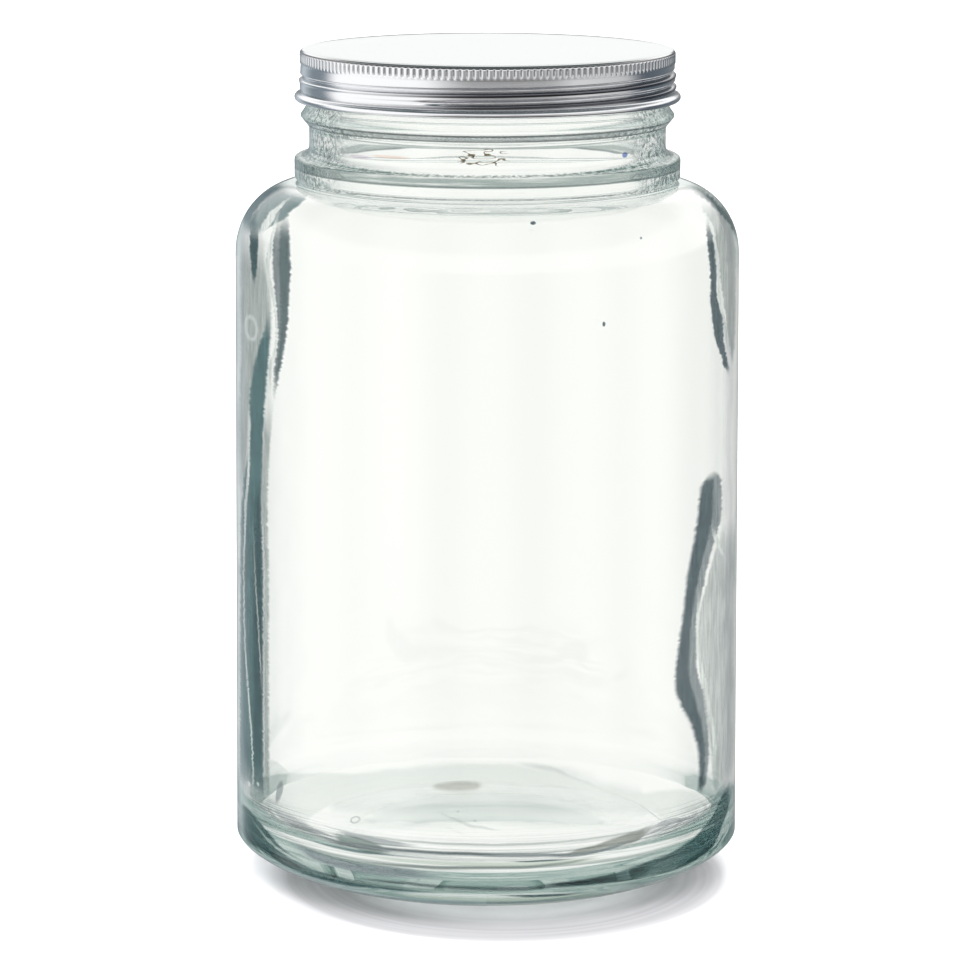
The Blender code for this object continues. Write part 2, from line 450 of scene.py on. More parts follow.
def jar_rings(sizes):
    """Rings of the jar from the underside's middle, out, up and back in."""
    rim_z = JAR_HIGH.z
    top = rim_z - RIM_CORNER
    wall = Outline()
    for i in range(1, PUNT_STEPS + 1):
        share = i / PUNT_STEPS
        wall.append((FOOT_INNER_R * share, PUNT_CENTRE_Z * (1 - share ** 2) ** 2))
    wall.append((FOOT_OUTER_R, 0.0))
    wall.curve((sizes.base_radius, HEEL_Z), 26, HEEL_POWER)
    wall.line((sizes.top_radius, BODY_TOP_Z), 40)
    wall.curve((SHOULDER_INNER_R, SHOULDER_TOP_Z), 24, upright=True)
    wall.append((SHOULDER_INNER_R, BEAD_LOW_Z - BEAD_CORNER))
    wall.curve((BEAD_R, BEAD_LOW_Z), 6)
    wall.line((BEAD_R, BEAD_HIGH_Z), 4)
    wall.curve((BEAD_R - BEAD_CORNER, BEAD_HIGH_Z + BEAD_CORNER), 6, upright=True)
    wall.curve((NECK_R, COVE_TOP_Z), 8)
    wall.line((NECK_R, RING_LOW_Z), 4)
    wall.line((RING_R, RING_Z - RING_HALF_FLAT), 5)
    wall.line((RING_R, RING_Z + RING_HALF_FLAT), 2)
    wall.line((RING_SHELF_R, RING_HIGH_Z), 4)
    wall.line((FINISH_R, FINISH_LOW_Z), 4)
    finish = len(wall)
    wall.line((FINISH_R, top), 34)
    rim = len(wall)
    wall.curve((FINISH_R - RIM_CORNER, rim_z), 5, upright=True)
    wall.line((BORE_R + RIM_CORNER, rim_z), 2)
    wall.curve((BORE_R, top), 5)
    bore = len(wall)
    wall.line((BORE_R, BORE_LOW_Z), 60)
    wall[bore:] = [(r + RING_LINING * hump(z - RING_LINING_Z, RING_LINING_HALF), z)
                   for r, z in wall[bore:]]
    meet = shoulder_lining(sizes, FLARE_MEETS)
    before = shoulder_lining(sizes, FLARE_MEETS + 0.02)
    lead = (Vector(before) - Vector(meet)).normalized() * FLARE_END_HANDLE
    wall.bend((BORE_R, BORE_LOW_Z - FLARE_HANDLE), (meet[0] + lead.x, meet[1] + lead.y), meet, 16)
    wall += [shoulder_lining(sizes, FLARE_MEETS * (1 - i / LINING_STEPS))
             for i in range(1, LINING_STEPS + 1)]
    wall.line((sizes.base_radius - sizes.wall, HOLLOW_BASE_Z), 100)
    wall.curve((FLOOR_R, FLOOR_EDGE_Z), 20, upright=True)
    rise = sizes.floor_height - FLOOR_EDGE_Z
    for i in range(1, FLOOR_STEPS):
        share = 1 - i / FLOOR_STEPS
        wall.append((FLOOR_R * share, FLOOR_EDGE_Z + rise * (1 - share ** 2)))
    return [(r, z, glass_thread if finish <= i < rim else None, sizes.steps)
            for i, (r, z) in enumerate(wall)]


# Shares of light that the painted refraction streaks in the glass keep
TEAL = (0.14, 0.24, 0.25)
TEAL_CORE = (0.08, 0.14, 0.15)
SLATE = (0.15, 0.19, 0.21)
PALE = (0.58, 0.62, 0.61)
MIST = (0.38, 0.42, 0.44)
BRIGHT = (0.90, 0.94, 0.93)
MILKY = (0.72, 0.75, 0.75)
FAINT = (0.84, 0.86, 0.86)
FAINT_GREEN = (0.80, 0.87, 0.79)
OLIVE = (0.36, 0.37, 0.32)
DUSK = (0.24, 0.28, 0.30)
LAVENDER = (0.60, 0.61, 0.68)


def shifted(points, aside, share):
    """Streak inside another: moved by a part of its half width, and narrower."""
    return [(step, place + aside * width, share * width) for step, place, width in points]


# Painted refraction: streaks of shade and light that stand in for the surroundings seen bent
# through the uneven glass, each as tone, softness of its edges, then points from low to high
# along it: place along, place across and half width. A streak fades out over its first and last
# step. On the walls: height, x and half width, in mm.
LEFT_UPPER = [(151, -63, 0.3), (161, -62, 0.9), (167, -61, 1.1), (173, -60.4, 1.4),
    (179, -60.3, 1.9), (185, -60.4, 2.3), (191, -60.4, 2.7), (199, -60.5, 2.5), (206, -60, 1.2)]
RIGHT_BLOB = [(31, 64.4, 0.2), (33.4, 64.8, 1), (40, 65.4, 1.4), (48, 64.8, 1.9),
    (56, 63, 2.7), (63, 60.8, 3.8), (69, 59.5, 3.3), (77, 59.7, 2.8), (86, 60.4, 2.3),
    (95, 61.8, 2.7), (100, 62.7, 3), (107, 64.5, 3.4), (114, 66.2, 3.9), (122, 66.6, 3.4),
    (126, 66.9, 2.8), (129, 67.2, 0.9)]
LEFT_STREAKS = [
    # shoulder
    (TEAL, 1.2, (197.5, -71.1, 2.2), (201, -69.6, 4.1), (204, -66.5, 5.9), (207, -64.2, 6.6),
    (209.5, -61, 6.6), (211, -59, 5.6)),
    # pale outer band
    (PALE, 1.5, (105, -74.4, 0.6), (132, -73.5, 1.3), (148, -72.7, 1.9), (158, -71.2, 3.1),
    (167, -69.4, 4.7), (180, -69, 5), (188, -69.6, 4.4), (200, -70.1, 3.8)),
    (DUSK, 0.9, *LEFT_UPPER),
    (TEAL_CORE, 1, *shifted(LEFT_UPPER, 0.35, 0.6)),
    # bright line beside it
    (BRIGHT, 0.5, (148, -64.8, 0.9), (160, -64.4, 0.8), (166, -62.6, 0.5), (172, -62, 0.4),
    (181, -62.8, 0.5), (185, -63.9, 0.6), (190, -64.7, 0.6), (194, -64.4, 0.6),
    (200, -63.2, 0.5), (208, -61.3, 0.3)),
    # dark tongue
    (TEAL_CORE, 0.6, (184, -69.3, 0.2), (187, -69.3, 0.7), (191, -69.2, 1.1), (193, -69.4, 1.3),
    (197, -69.3, 1.4), (202, -69.7, 1.4)),
    # main band
    (TEAL, 1, (14, -71.2, 4.6), (38, -71.4, 4.1), (72, -71.2, 3.9), (100, -70.9, 3.9),
    (115, -70.8, 3.4), (128, -69.7, 2.8), (140, -68.8, 2.2), (148, -68.6, 2.5),
    (156, -67.8, 2.3), (162, -66.8, 2), (169, -65.5, 1.3), (179, -64.1, 0.3)),
    # its core
    (TEAL_CORE, 1.6, (20, -69.1, 1.6), (58, -68.9, 1.6), (83, -68.7, 1.6), (101, -68.6, 1.4),
    (118, -68.5, 0.9), (126, -68.4, 0.3)),
    # pale fringe
    (PALE, 0.8, (16, -66.2, 0.9), (41, -66.2, 0.8), (75, -66.1, 0.8), (102, -65.9, 0.8),
    (120, -66.3, 0.9), (139, -65.4, 1.1), (152, -64.6, 1.3)),
    # seam
    (BRIGHT, 0.4, (12, -71.4, 0.25), (40, -70.9, 0.25), (68, -73, 0.25), (94, -73.5, 0.25),
    (108, -73, 0.3), (118, -72.5, 0.4), (127, -71.6, 0.4), (137, -71.3, 0.3),
    (148, -70.9, 0.2)),
    # thread
    (PALE, 0.3, (58, -67.7, 0.2), (71, -68.1, 0.2), (89, -69.2, 0.2), (116, -70.3, 0.2)),
    # glare
    (BRIGHT, 0.8, (198, -67.7, 0.3), (201, -66.2, 0.9), (203.3, -64.7, 1.4), (205.5, -63.3, 1.1),
    (207.5, -61.3, 0.6), (210, -58.4, 0.3)),
    # glint
    (PALE, 0.4, (200.5, -71.3, 0.3), (203.8, -69.6, 0.3), (206.3, -67.6, 0.3),
    (208, -65.9, 0.3)),
]
RIGHT_STREAKS = [
    # haze
    (MILKY, 1, (26, 72, 3), (34, 72.3, 3.6), (50, 71.5, 4.6), (66, 70, 5.6), (85, 69.5, 6.2),
    (104, 72, 3.6), (112, 73, 2)),
    # grey outer band
    (PALE, 0.8, (158, 73.8, 0.3), (163, 73.5, 0.9), (169, 73.3, 1.4), (176, 72.8, 1.9),
    (185, 72, 2.7), (194, 71.4, 3), (201, 70, 3.1), (204, 68.7, 3.4), (208, 66.1, 2.8)),
    # bright line
    (BRIGHT, 0.5, (158, 73.2, 0.3), (165, 72.1, 0.5), (173, 70.4, 0.6), (183, 68.8, 0.5),
    (195, 67.7, 0.4), (202, 66.4, 0.5), (207, 63.8, 0.3)),
    # dark strip
    (SLATE, 0.6, (156, 72.6, 0.3), (159, 71.6, 0.7), (165, 70, 1), (169, 69, 1.4),
    (174, 68.4, 1.6), (179, 67.4, 1.3), (183, 67, 1), (189, 66.9, 1), (197, 66.1, 1),
    (200, 65.6, 0.8), (204, 65.2, 0.3)),
    # arc at the shoulder
    (TEAL_CORE, 0.8, (194, 75.3, 0.3), (198, 74.3, 0.6), (201, 72.8, 0.8), (205, 69.3, 0.9),
    (208, 66, 0.9), (210.5, 62.1, 0.9)),
    (SLATE, 1.6, *RIGHT_BLOB),
    (MIST, 1.2, *shifted(RIGHT_BLOB, 0.65, 0.35)),
    # bright edge
    (BRIGHT, 0.6, (34, 69.3, 0.5), (44, 69, 0.6), (53, 67.7, 0.6), (59, 66.5, 0.6),
    (66, 65.1, 0.6), (76, 63.4, 0.5), (85, 63.1, 0.5), (97, 63.3, 0.3)),
    # notch
    (BRIGHT, 0.4, (99, 72.1, 0.3), (104, 70.3, 0.4), (108, 68.6, 0.6), (112, 67.7, 0.4)),
]
# On the heel and the front: degrees round from the front, height and half height.
HEEL_STREAKS = [
    # pale edge
    (PALE, 0.8, (-80, 6.5, 0.8), (-60, 4.6, 0.8), (-20, 4.3, 0.7), (0, 4.8, 0.6), (60, 4.6, 0.8),
    (80, 6.5, 0.8)),
    # green edge
    (FAINT_GREEN, 0.8, (-34, 6.9, 0.6), (-25, 6.8, 0.9), (0, 6.7, 1.1), (25, 6.1, 0.9),
    (34, 5.9, 0.5)),
    # left band
    (TEAL, 1, (-80, 17, 3), (-72, 17, 5), (-61, 15.6, 4), (-55, 13.4, 3), (-45, 10.8, 2),
    (-34, 9.5, 1.6), (-28, 9.6, 1.1), (-19, 9.7, 0.8), (-8, 9.3, 0.4)),
    # its line
    (BRIGHT, 0.5, (-68, 19.5, 0.4), (-61, 16.9, 0.45), (-55, 14.8, 0.45), (-46, 12.7, 0.45),
    (-34, 11.5, 0.4), (-26, 11.3, 0.3)),
    # right band
    (TEAL, 1, (12, 11.2, 0.3), (17, 11.2, 0.4), (23, 11.5, 0.9), (31, 12.1, 1.5),
    (39, 12.8, 2.3), (47, 13.3, 3), (56, 15.1, 4), (63, 17.7, 5), (68, 21.8, 5), (73, 25, 4),
    (79, 27, 2)),
    # its line
    (BRIGHT, 0.5, (13, 9.6, 0.3), (17, 9.5, 0.35), (31, 9, 0.4), (42, 7.8, 0.4), (60, 8.6, 0.4),
    (70, 10.4, 0.3)),
    # dark stroke
    (TEAL_CORE, 0.6, (1, 9, 0.2), (8, 8.3, 0.5), (17, 7.7, 0.6), (26, 7.6, 0.2)),
    # second stroke
    (TEAL, 0.6, (12, 12, 0.2), (16, 11.9, 0.3), (23, 11.5, 0.6), (34, 10.6, 0.4),
    (40, 10.2, 0.2)),
]
FRONT_STREAKS = [
    # teal stroke
    ((0.38, 0.46, 0.44), 1, (-37, 24, 0.3), (-34, 23, 1.2), (-28.5, 21.9, 1.8), (-24, 21, 1.3),
    (-20, 20.4, 0.3)),
    # brown stroke
    ((0.46, 0.48, 0.45), 1, (15, 20.2, 0.3), (20, 21.2, 0.7), (26, 22, 0.9), (32, 22.8, 1.6),
    (36.5, 23.8, 1.4), (41, 26, 0.5)),
    # pale stroke
    (LAVENDER, 1.2, (-50, 17.9, 0.8), (-43, 16.3, 1.2), (-34, 15.3, 1.5), (-26, 14.9, 1.6),
    (-17, 14.7, 1.3), (-8, 14.6, 0.8)),
    # rim line
    (MIST, 0.7, (-40, 22.1, 0.5), (-34, 21.4, 0.5), (-26, 21.3, 0.5), (-10, 21.6, 0.55),
    (0, 21.6, 0.55), (12, 21.2, 0.5), (21, 20.4, 0.5), (30, 21.2, 0.4), (36, 22.7, 0.4)),
    # lower line
    (PALE, 0.6, (-46, 17.6, 0.3), (-37, 16.8, 0.35), (-28, 16.5, 0.4), (-10, 17.2, 0.5),
    (0, 17.8, 0.5), (10, 17.9, 0.45), (19, 18.3, 0.35), (26, 19.1, 0.3)),
    # dark stroke
    (MIST, 0.8, (-31, 11.5, 0.3), (-24, 11.6, 0.4), (0, 11.4, 0.6), (12, 11.3, 0.6),
    (19, 11.9, 0.8), (26, 11.5, 0.8), (36, 10.7, 0.7)),
]
# On the inner floor: x, y and half width; on its far cove: x, height and half height.
FLOOR_STREAKS = [
    # painted shade
    (FAINT, 12, (-54, 30, 4), (-48, 32, 16), (-30, 36, 26), (0, 37, 30), (30, 34, 24),
    (50, 26, 12), (54, 24, 4)),
    # back arc
    (MILKY, 2, (-61, 12, 0.8), (-56, 26, 1.3), (-48, 47, 1.5), (-34, 62, 1.6), (-20, 69, 1.5),
    (-5, 71, 1.4), (10, 68, 1.4), (24, 59, 1.4), (36, 46, 1.4), (49, 27, 1.4), (55, 5, 1.2),
    (57, -15, 0.8)),
    # front arc
    (PALE, 3, (-52, -4, 0.8), (-48, -10, 1.5), (-40, -20, 2.2), (-26, -29, 2.6), (-2, -35, 2.6),
    (22, -31, 2.6), (40, -22, 2.2), (47, -15, 1.5), (53, -7, 0.8)),
    # line before it
    (PALE, 2, (-50, -38, 0.8), (-30, -48, 1.3), (-2, -53, 1.4), (25, -50, 1.2), (40, -42, 0.8)),
    # spot
    (OLIVE, 9, (-18.5, 47, 1.5), (-16, 47, 4), (-9.4, 47, 7.5), (-3, 47, 5), (-0.5, 47, 1.5)),
    # crescent
    (MILKY, 1.5, (-18, 13, 0.5), (-14, 8, 1.3), (-6.5, -5, 1.7), (0, -10, 1.5), (6, -13, 0.5)),
    # teal patch
    (MIST, 3, (-47, -18, 2), (-43, -22, 5), (-35, -32, 7), (-27, -38, 5), (-19, -42, 2)),
    # left swirl
    (MIST, 5, (-70, 10, 4), (-66, 5, 10), (-60, -12, 15), (-55, -30, 8), (-51, -42, 3)),
    # right hook
    (MIST, 3, (49, -14, 2), (54, -6, 5), (58, -1, 7), (62, -5, 6), (67, -11, 2)),
]
FLOOR_FAR = [(-73, 10, 15), (-70, 10, 14.9), (-63.6, 10, 8.3), (-47, 10, 4.2), (-31, 10, 2.3),
    (0, 10, 2.9), (27, 10, 1.5), (39, 10, 0.4), (52, 10, 1.4), (66, 10, 5.5), (72, 10, 7)]
# Small oval marks: place, radii, tone, and "outline" where only that shows.
LEFT_MARKS = [((-70.4, 170.7), (2.4, 4.2), MILKY, "outline"),
    ((-75.2, 27.5), (0.7, 0.8), BRIGHT),
    ((-72.2, 30), (0.6, 0.8), BRIGHT),
    ((-69.1, 31.8), (0.5, 0.7), BRIGHT)]
COVE_MARKS = [((-66.3, 15.6), (1.2, 1.9), DUSK)]
SEEDS = [((13.2, 207.2), (0.9, 0.5), SLATE),
    ((33.8, 178), (0.5, 0.8), SLATE),
    ((44.7, 201.7), (0.4, 0.4), MIST)]
FLOOR_MARKS = [((-40.7, 3), (1.6, 4.6), MIST, "outline"),
    ((-8.8, 10.5), (0.35, 1.3), SLATE),
    ((-3.4, -1.5), (0.35, 1.3), SLATE)]
NECK_MARKS = [((40.5, 223.4), (0.9, 0.9), (0.25, 0.33, 0.62)),
    ((-28.5, 223.8), (6, 0.5), (0.95, 0.80, 0.74)),
    ((-37.5, 223), (3.5, 0.6), (0.86, 0.78, 0.86))]

# Low and high end of the place along, and reach of the place across, of each set
WALL_SPAN = (0.0, 220.0, 80.0)
HEEL_SPAN = (-90.0, 90.0, 40.0)
FLOOR_SPAN = (-80.0, 80.0, 80.0)
STREAK_WIDEST = 60.0

GLASS_IOR = 1.52
GLASS_COOL = (0.99, 0.997, 0.993, 1.0)
GLASS_WARM = (1.0, 1.0, 0.997, 1.0)
STRAND_TONE = (0.40, 0.47, 0.45, 1.0)
COVE_LINE_TONE = (0.42, 0.45, 0.47, 1.0)
FAR_FLOOR_TONE = (0.80, 0.83, 0.82, 1.0)
BEAD_SHADE_TONE = (0.40, 0.46, 0.45, 1.0)
BEAD_LINE_SHADE_TONE = (0.22, 0.26, 0.26, 1.0)
BEAD_LINE_Z = 216.3
RING_LINE_SHADE_TONE = (0.14, 0.17, 0.17, 1.0)
RING_LINES = (230.8, 229.2)
SCRAWL_TONE = (0.20, 0.16, 0.10, 1.0)
SCRAWL_PLACE = (-1.2, 224.6)
SCRAWL_RADII = (9.0, 3.2)
NECK_GLINT_SHADE_TONE = (0.22, 0.28, 0.28, 1.0)
CAUGHT_DEPTH = 11.0
CAUGHT_GLOW_TONE = (0.84, 0.92, 0.88, 1.0)


def streak(net, span, along, across, points, softness):
    """Mask of one streak through (place along, place across, half width)."""
    low, high, side = span
    stops = []
    for i, (step, place, width) in enumerate(points):
        strength = 0 if i in (0, len(points) - 1) else 1
        stops.append(((step - low) / (high - low),
                      (0.5 + 0.5 * place / side, width / STREAK_WIDEST, strength, 1.0)))
    place, width, strength = net.track((along - low) / (high - low), stops)
    offset = (across - (place - 0.5) * (2 * side)).math("ABSOLUTE")
    inside = net.smooth(width * STREAK_WIDEST - offset, -0.5 * softness, 0.5 * softness)
    return inside * strength.math("MINIMUM", 1)


def reach_of(net, across, up, centre, radii):
    """Distance from a mark's middle, 1 on its oval outline."""
    return net.hypot((across - centre[0]) / radii[0], (up - centre[1]) / radii[1])


def marked(net, tint_and_shade, across, up, marks):
    """Small oval marks on what the glass keeps: full, or only their outline."""
    for centre, radii, tone, *outline in marks:
        reach = reach_of(net, across, up, centre, radii)
        mask = net.hump(reach - 0.8, 0.3) if outline else net.fade(reach, 0.7, 1.1)
        tint_and_shade = net.mix(mask, tint_and_shade, opaque(tone))
    return tint_and_shade


def streaked(net, span, along, across, streaks, fibre, depth=0.75):
    """What the glass keeps of the light under a set of streaks."""
    tint_and_shade = grey(1)
    for tone, softness, *points in streaks:
        mask = streak(net, span, along, across, points, softness)
        shade = net.mix(net.smooth(fibre, 0.3, 0.7), opaque(tone, depth), opaque(tone))
        tint_and_shade = net.mix(mask, tint_and_shade, shade)
    return tint_and_shade


def mark_outside(mesh):
    """Note on every vertex whether it lies on the outer wall."""
    mesh.normal_update()
    outside = mesh.verts.layers.float.new("outside")
    for corner in mesh.verts:
        reach = corner.normal.x * corner.co.x + corner.normal.y * corner.co.y
        on_floor = corner.normal.z > 0.5 and corner.co.z < HOLLOW_BASE_Z
        corner[outside] = 1 if reach > 0 and not on_floor else 0


def pane(net, kept, normal):
    """Clear glass that keeps a share of the light that crosses its skin."""
    skin = net.node("ShaderNodeGamma", {"Color": kept, "Gamma": 2})
    return net.node("ShaderNodeBsdfPrincipled",
                    {"Base Color": skin, "Roughness": 0, "IOR": GLASS_IOR,
                     "Transmission Weight": 1, "Normal": normal})


def grain(net, scale_x, scale_y, scale_z, detail=2):
    """Noise stretched over the piece's own X, Y and Z."""
    place = net.node("ShaderNodeTexCoord", output=3)
    stretched = net.node("ShaderNodeVectorMath", {0: place, 1: (scale_x, scale_y, scale_z)},
                         {"operation": "MULTIPLY"})
    return net.noise(stretched, 1, detail)


class Spot:
    """Where on the glass a shading point lies, in mm and degrees."""

    def __init__(self, net):
        self.place = net.node("ShaderNodeTexCoord", output=3)
        x, y, z = net.split(self.place)
        self.x, self.y, self.z = x / MM, y / MM, z / MM
        self.radius = net.hypot(x, y) / MM
        self.angle = net.math("ARCTAN2", x, y * -1) * DEGREES
        self.aside = self.angle.math("ABSOLUTE")
        self.in_front = net.math("LESS_THAN", y, 0)
        self.outside = net.node("ShaderNodeAttribute", None, {"attribute_name": "outside"}, 2)
        self.facing = net.node("ShaderNodeLayerWeight", {"Blend": 0.5}, output=1)
        self.turning = net.smooth(self.facing, 0.2, 0.32)


def edge_walls(net, at, normal):
    """Painted refraction streaks of the uneven wall at the left and right, seen where the wall
    turns away.
    """
    # the shoulder's streaks reach a little past the middle
    behind = net.smooth(at.z, 185.9, 186.1) * 14 + net.smooth(at.z, 203, 211) * 20
    edge = at.outside * at.turning * net.between(at.y - behind, -130, 0)
    edge = edge * net.between(at.z, 14, 212)
    across = at.x + (grain(net, 250, 0, 1500, 4) - 0.5) * 1.8
    fibre = grain(net, 1800, 0, 90, 3)
    # painted refraction: dark and light streaks near the outline
    tint_and_shade = streaked(net, WALL_SPAN, at.z, across, LEFT_STREAKS, fibre)
    tint_and_shade = marked(net, tint_and_shade, at.x, at.z, LEFT_MARKS)
    yield edge * net.between(at.x, -90, -50), tint_and_shade, normal
    tint_and_shade = streaked(net, WALL_SPAN, at.z, across, RIGHT_STREAKS, fibre)
    body = net.math("LESS_THAN", at.z, 186)
    side = edge * net.between(at.x, 50, 90)
    yield side * body.math("MAXIMUM", net.smooth(at.facing, 0.34, 0.46)), tint_and_shade, normal


def heel(net, at, normal):
    """Strands all round the heel, partly the glass's own striations and partly painted shade, and
    painted refraction strokes at its front.
    """
    strand = net.noise(net.point(X=at.angle * 0.02, Z=at.z * 2.2), 1, 4)
    tint_and_shade = streaked(net, HEEL_SPAN, at.angle, at.z + (strand - 0.5) * 1.6, HEEL_STREAKS, strand)
    # painted shade: the strands darken low on the heel and at its front corners
    corner = net.window(at.aside, 36, 52, 66, 74) * net.smooth(at.z, 15, 20)
    lines = 0.12 + net.fade(at.z, 10, 15) * 0.24 + corner * 0.55
    tint_and_shade = net.mix(net.smooth(strand, 0.47, 0.55) * lines, tint_and_shade, STRAND_TONE)
    slow = net.noise(at.place, 50, 1)
    front = streaked(net, HEEL_SPAN, at.angle, at.z + (slow - 0.5) * 1.2, FRONT_STREAKS, strand)
    tint_and_shade = net.mix(1, tint_and_shade, front, "MULTIPLY")
    gate = at.outside * net.between(at.z, 0.5, 32) * net.fade(at.z, 26, 32)
    yield gate * at.turning.math("MAXIMUM", at.in_front), tint_and_shade, normal


def inner_floor(net, at, normal):
    """Painted refraction and shade: arcs on the inner floor, and lines round the cove between
    floor and wall.
    """
    swirl = grain(net, 90, 60, 0, 2)
    tint_and_shade = streaked(net, FLOOR_SPAN, at.x, at.y + (swirl - 0.5) * 4, FLOOR_STREAKS, swirl, 0.94)
    tint_and_shade = marked(net, tint_and_shade, at.x, at.y, FLOOR_MARKS)
    tint_and_shade = net.mix(net.smooth(at.z, 12.6, 14), tint_and_shade, grey(1))
    # strongest at the cove's two front corners
    rounds = net.point(X=at.angle * 0.015, Z=at.z * 1.25)
    line = net.noise(rounds, 1, 3, Distortion=0.4)
    corner = net.window(at.aside, 30, 50, 78, 95)
    cove = net.smooth(at.radius, 55.5, 58) * net.fade(at.z, 22, 27)
    strength = cove * (0.35 + corner * 0.6) * net.fade(at.aside, 95, 110)
    tint_and_shade = net.mix(net.smooth(line, 0.46, 0.56) * strength, tint_and_shade, COVE_LINE_TONE)
    # painted shade on the far cove behind the floor
    far = streak(net, FLOOR_SPAN, at.x, at.z, FLOOR_FAR, 1) * net.smooth(at.y, 0, 12)
    tint_and_shade = net.mix(far * net.smooth(at.radius, 55, 57), tint_and_shade, FAR_FLOOR_TONE)
    tint_and_shade = marked(net, tint_and_shade, at.x, at.z, COVE_MARKS)
    yield (1 - at.outside) * net.between(at.z, 9, 27), tint_and_shade, normal


def neck(net, at, normal):
    """Painted refraction: the bead's dark band, the ring's two lines, and dark grain where the
    neck turns away.
    """
    strand = net.noise(net.point(X=at.angle * 0.04, Z=at.z * 1.2), 1, 3)
    speck = grain(net, 900, 900, 700, 3)
    rough = net.bump(0.5, 0.0004, speck)
    # painted refraction shade: a dark band on the bead, a line under it and two lines on the ring
    band = net.window(at.z, 215.8, 216.3, 218.5, 219.2)
    tint_and_shade = net.mix(band * net.smooth(strand, 0.2, 0.5), grey(1), BEAD_SHADE_TONE)
    tint_and_shade = net.mix(net.hump(at.z - BEAD_LINE_Z, 0.5), tint_and_shade, BEAD_LINE_SHADE_TONE)
    for line in RING_LINES:
        tint_and_shade = net.mix(net.hump(at.z - line, 0.45), tint_and_shade, RING_LINE_SHADE_TONE)
    reach = reach_of(net, at.x, at.z, SCRAWL_PLACE, SCRAWL_RADII)
    scrawl = (grain(net, 170, 0, 620, 1) - 0.47).math("ABSOLUTE")
    scrawl = net.fade(scrawl, 0.012, 0.03) * net.fade(reach, 0.75, 1)
    marks = net.mix(scrawl, tint_and_shade, SCRAWL_TONE)
    marks = marked(net, marks, at.x, at.z, NECK_MARKS)
    tint_and_shade = net.mix(at.in_front, tint_and_shade, marks)
    turned_away = net.smooth(at.facing, 0.34, 0.55)
    # painted dark glints where the neck turns away
    tint_and_shade = net.mix(turned_away * net.smooth(speck, 0.40, 0.62) * 0.85, tint_and_shade, NECK_GLINT_SHADE_TONE)
    gate = at.outside * net.between(at.z, 211.5, 238)
    yield gate, tint_and_shade, net.mix(turned_away, normal, rough)


def glass_material(finishes):
    """Clear glass: sharp, faintly green in depth, with painted refraction streaks where its wall
    is uneven.
    """
    material, net = new_material("clear_glass")
    at = Spot(net)
    normal = net.bump(0.06, 0.002, net.noise(at.place, 60, 1))
    kept = net.mix(net.noise(at.place, 14, 2), GLASS_COOL, GLASS_WARM)
    seeded = marked(net, kept, at.x, at.z, SEEDS)
    shader = pane(net, net.mix(at.outside * at.in_front, kept, seeded), normal)
    for zone in (edge_walls, heel, inner_floor, neck):
        for gate, tint_and_shade, skin in zone(net, at, normal):
            shader = net.cover(gate, shader, pane(net, tint_and_shade, skin))
    # painted glow: rays past the depth limit end in a pale green emission that stands in for light
    # caught between the walls
    caught = net.math("GREATER_THAN", net.ray("Ray Depth"), CAUGHT_DEPTH)
    painted_glow = net.node("ShaderNodeEmission", {"Color": CAUGHT_GLOW_TONE})
    depth = net.node("ShaderNodeVolumeAbsorption",
                     {"Color": opaque(finishes.glass_depth_colour),
                      "Density": finishes.glass_density})
    net.node("ShaderNodeOutputMaterial",
             {"Surface": net.cover(caught, shader, painted_glow), "Volume": depth})
    material.cycles.emission_sampling = "NONE"
    return material


class STORAGEJAR_OT_glass(bpy.types.Operator):
    """Turn the glass jar"""

    bl_idname = "storage_jar.glass"
    bl_label = "Glass jar"

    def execute(self, context):
        sizes = context.scene.storage_jar
        finishes = context.scene.storage_jar_finishes
        jar = turned("glass_jar", jar_rings(sizes), PUNT_CENTRE_Z, sizes.floor_height,
                     mark_outside)
        jar.data.materials.append(glass_material(finishes))
        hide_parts("jar")
        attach(jar, BODY)
        return {"FINISHED"}


# ---- lid

LID_CORNER = 0.7 * MM
FLUTE_R = 56.65 * MM
FLUTE_HIGH_Z = 250.5 * MM
FLUTE_LOW_Z = 247.6 * MM
FLUTE_RUN_OUT = 0.3 * MM
RIM_CREASE_Z = 250.75 * MM
SKIRT_LOW_Z = 246.4 * MM
CURL_NECK_R = 56.3 * MM
CURL_NECK_Z = 238.5 * MM
CURL_R = 57.2 * MM
CURL_Z = 237.2 * MM
CURL_SECTION = 1.1 * MM
CURL_STEPS = 18
SKIRT_FLARE = 0.6 * MM
RING_STEPS = 360
FLUTE_SIDES = 10
# painted shade for the rim crease, the flute valleys and the thread grooves
CREASE_SHADE_TONE = (0.08, 0.076, 0.072, 1.0)
FLUTE_SHADE_TONE = (0.20, 0.205, 0.22, 1.0)
GROOVE_SHADE_TONE = (0.14, 0.145, 0.165, 1.0)
LID_TOP_TONE = (0.79, 0.80, 0.795, 1.0)


def skirt_points(sizes, inset, rows):
    """Skirt wall from the smooth band down to the curl's neck."""
    points = []
    for i in range(rows + 1):
        share = i / rows
        swell = SKIRT_FLARE * share * (1 - share ** 6)
        r = sizes.radius + (CURL_NECK_R - sizes.radius) * share + swell - inset
        points.append((r, SKIRT_LOW_Z + (CURL_NECK_Z - SKIRT_LOW_Z) * share))
    return points


